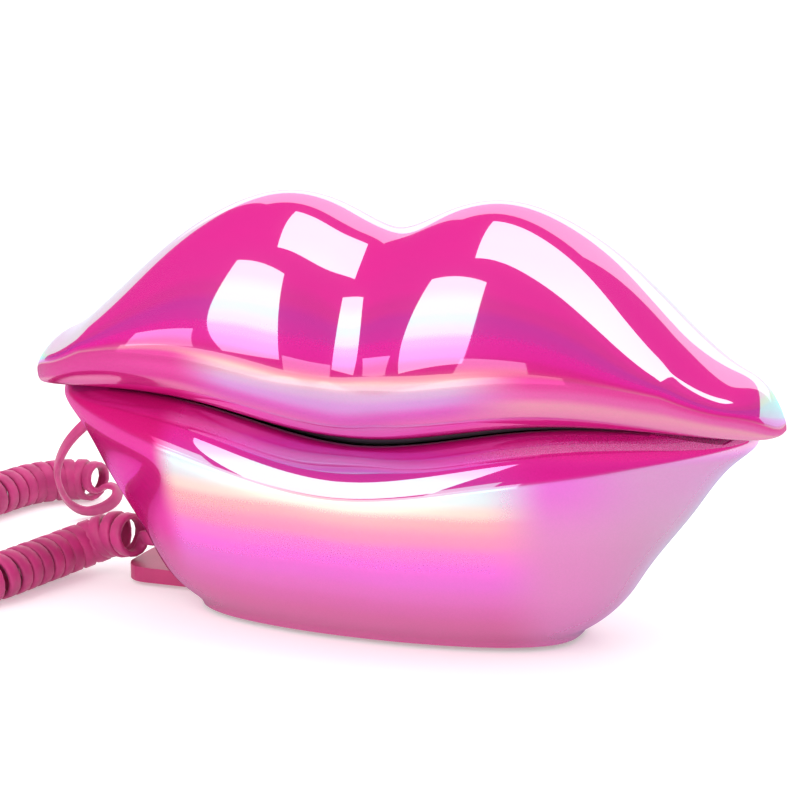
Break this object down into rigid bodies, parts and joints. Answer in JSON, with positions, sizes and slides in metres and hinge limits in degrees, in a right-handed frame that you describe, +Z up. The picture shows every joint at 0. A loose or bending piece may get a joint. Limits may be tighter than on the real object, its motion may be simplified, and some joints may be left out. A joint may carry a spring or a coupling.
{
  "type": "novelty shaped telephone",
  "caption": "Desk telephone shaped like a pair of lips: the upper lip lifts off as the handset, with a keypad underneath, the lower lip is the base, and a curly cord joins them.",
  "frame": {"origin": "on the surface the telephone stands on, under the middle of the lips' width and depth", "axes": "+X to the right when facing the lips, -Y the front of the lips, +Z up"},
  "size_m": [0.2803, 0.1431, 0.117],
  "materials": {
    "plated_pink": "mirror-smooth pearlescent pink plating",
    "pink_plastic": "satin",
    "black_plastic": "satin",
    "dark_plastic": "satin",
    "key_plastic": "satin",
    "plunger_plastic": "satin",
    "plug_plastic": "clear-ish glossy",
    "pad_rubber": "matte",
    "mat_rubber": "matte",
    "gasket_rubber": "matte",
    "zinc_steel": "zinc plated",
    "ballast_steel": "rolled",
    "circuit_board": "solder mask",
    "capsule_metal": "satin",
    "cord_jacket": "matte vinyl"
  },
  "bodies": {
    "base": {"lower_lip_shell": "plated_pink", "base_plate": "pink_plastic", "cradle_deck": "black_plastic", "foot_pad_1": "pad_rubber", "base_screw_1": "zinc_steel", "foot_pad_2": "pad_rubber", "base_screw_2": "zinc_steel", "foot_pad_3": "pad_rubber", "base_screw_3": "zinc_steel", "foot_pad_4": "pad_rubber", "base_screw_4": "zinc_steel", "ballast_plate": "ballast_steel", "base_circuit_board": "circuit_board", "ringer": "dark_plastic", "line_jack": "dark_plastic", "base_cord_jack": "dark_plastic", "hook_switch_body": "dark_plastic", "ringer_switch_body": "dark_plastic", "dial_mode_switch_body": "dark_plastic", "hook_spring": "zinc_steel", "base_cord_plug": "plug_plastic", "cord_lead_in": "cord_jacket", "cord_coil": "cord_jacket", "cord_tail": "cord_jacket"},
    "handset": {"upper_lip_shell": "plated_pink", "handset_faceplate": "black_plastic", "key_mat": "mat_rubber", "handset_circuit_board": "circuit_board", "handset_weight": "ballast_steel", "receiver_capsule": "capsule_metal", "receiver_gasket": "gasket_rubber", "microphone_capsule": "capsule_metal", "handset_screw_1": "zinc_steel", "handset_screw_2": "zinc_steel", "handset_screw_3": "zinc_steel", "handset_screw_4": "zinc_steel", "handset_cord_jack": "dark_plastic", "handset_cord_plug": "plug_plastic"},
    "hook_plunger": {"hook_plunger": "plunger_plastic"},
    "ringer_knob": {"ringer_switch_knob": "dark_plastic"},
    "dial_mode_knob": {"dial_mode_switch_knob": "dark_plastic"},
    "key_1": {"key_1": "key_plastic"},
    "key_4": {"key_4": "key_plastic"},
    "key_7": {"key_7": "key_plastic"},
    "key_star": {"key_star": "key_plastic"},
    "key_redial": {"key_redial": "key_plastic"},
    "key_2": {"key_2": "key_plastic"},
    "key_5": {"key_5": "key_plastic"},
    "key_8": {"key_8": "key_plastic"},
    "key_0": {"key_0": "key_plastic"},
    "key_flash": {"key_flash": "key_plastic"},
    "key_3": {"key_3": "key_plastic"},
    "key_6": {"key_6": "key_plastic"},
    "key_9": {"key_9": "key_plastic"},
    "key_hash": {"key_hash": "key_plastic"},
    "key_mute": {"key_mute": "key_plastic"}
  },
  "joints": [
    {"name": "handset_lift", "type": "slide", "parent": "base", "child": "handset", "axis": [0, 0, 1], "range_m": [0, 0.06]},
    {"name": "hook_rise", "type": "slide", "parent": "base", "child": "hook_plunger", "axis": [0, 0, 1], "range_m": [0, 0.004], "deforming": ["hook_spring"]},
    {"name": "ringer_volume_slide", "type": "slide", "parent": "base", "child": "ringer_knob", "axis": [1, 0, 0], "range_m": [0, 0.005]},
    {"name": "dial_mode_slide", "type": "slide", "parent": "base", "child": "dial_mode_knob", "axis": [1, 0, 0], "range_m": [0, 0.005]},
    {"name": "key_1_press", "type": "slide", "parent": "handset", "child": "key_1", "axis": [0, 0, 1], "range_m": [0, 0.0015], "stiffness_N_per_m": 300},
    {"name": "key_4_press", "type": "slide", "parent": "handset", "child": "key_4", "axis": [0, 0, 1], "range_m": [0, 0.0015], "stiffness_N_per_m": 300},
    {"name": "key_7_press", "type": "slide", "parent": "handset", "child": "key_7", "axis": [0, 0, 1], "range_m": [0, 0.0015], "stiffness_N_per_m": 300},
    {"name": "key_star_press", "type": "slide", "parent": "handset", "child": "key_star", "axis": [0, 0, 1], "range_m": [0, 0.0015], "stiffness_N_per_m": 300},
    {"name": "key_redial_press", "type": "slide", "parent": "handset", "child": "key_redial", "axis": [0, 0, 1], "range_m": [0, 0.0015], "stiffness_N_per_m": 300},
    {"name": "key_2_press", "type": "slide", "parent": "handset", "child": "key_2", "axis": [0, 0, 1], "range_m": [0, 0.0015], "stiffness_N_per_m": 300},
    {"name": "key_5_press", "type": "slide", "parent": "handset", "child": "key_5", "axis": [0, 0, 1], "range_m": [0, 0.0015], "stiffness_N_per_m": 300},
    {"name": "key_8_press", "type": "slide", "parent": "handset", "child": "key_8", "axis": [0, 0, 1], "range_m": [0, 0.0015], "stiffness_N_per_m": 300},
    {"name": "key_0_press", "type": "slide", "parent": "handset", "child": "key_0", "axis": [0, 0, 1], "range_m": [0, 0.0015], "stiffness_N_per_m": 300},
    {"name": "key_flash_press", "type": "slide", "parent": "handset", "child": "key_flash", "axis": [0, 0, 1], "range_m": [0, 0.0015], "stiffness_N_per_m": 300},
    {"name": "key_3_press", "type": "slide", "parent": "handset", "child": "key_3", "axis": [0, 0, 1], "range_m": [0, 0.0015], "stiffness_N_per_m": 300},
    {"name": "key_6_press", "type": "slide", "parent": "handset", "child": "key_6", "axis": [0, 0, 1], "range_m": [0, 0.0015], "stiffness_N_per_m": 300},
    {"name": "key_9_press", "type": "slide", "parent": "handset", "child": "key_9", "axis": [0, 0, 1], "range_m": [0, 0.0015], "stiffness_N_per_m": 300},
    {"name": "key_hash_press", "type": "slide", "parent": "handset", "child": "key_hash", "axis": [0, 0, 1], "range_m": [0, 0.0015], "stiffness_N_per_m": 300},
    {"name": "key_mute_press", "type": "slide", "parent": "handset", "child": "key_mute", "axis": [0, 0, 1], "range_m": [0, 0.0015], "stiffness_N_per_m": 300}
  ],
  "couplings": [
    {"joint": "hook_rise", "follows": "handset_lift", "ratio": 0.0666}
  ]
}
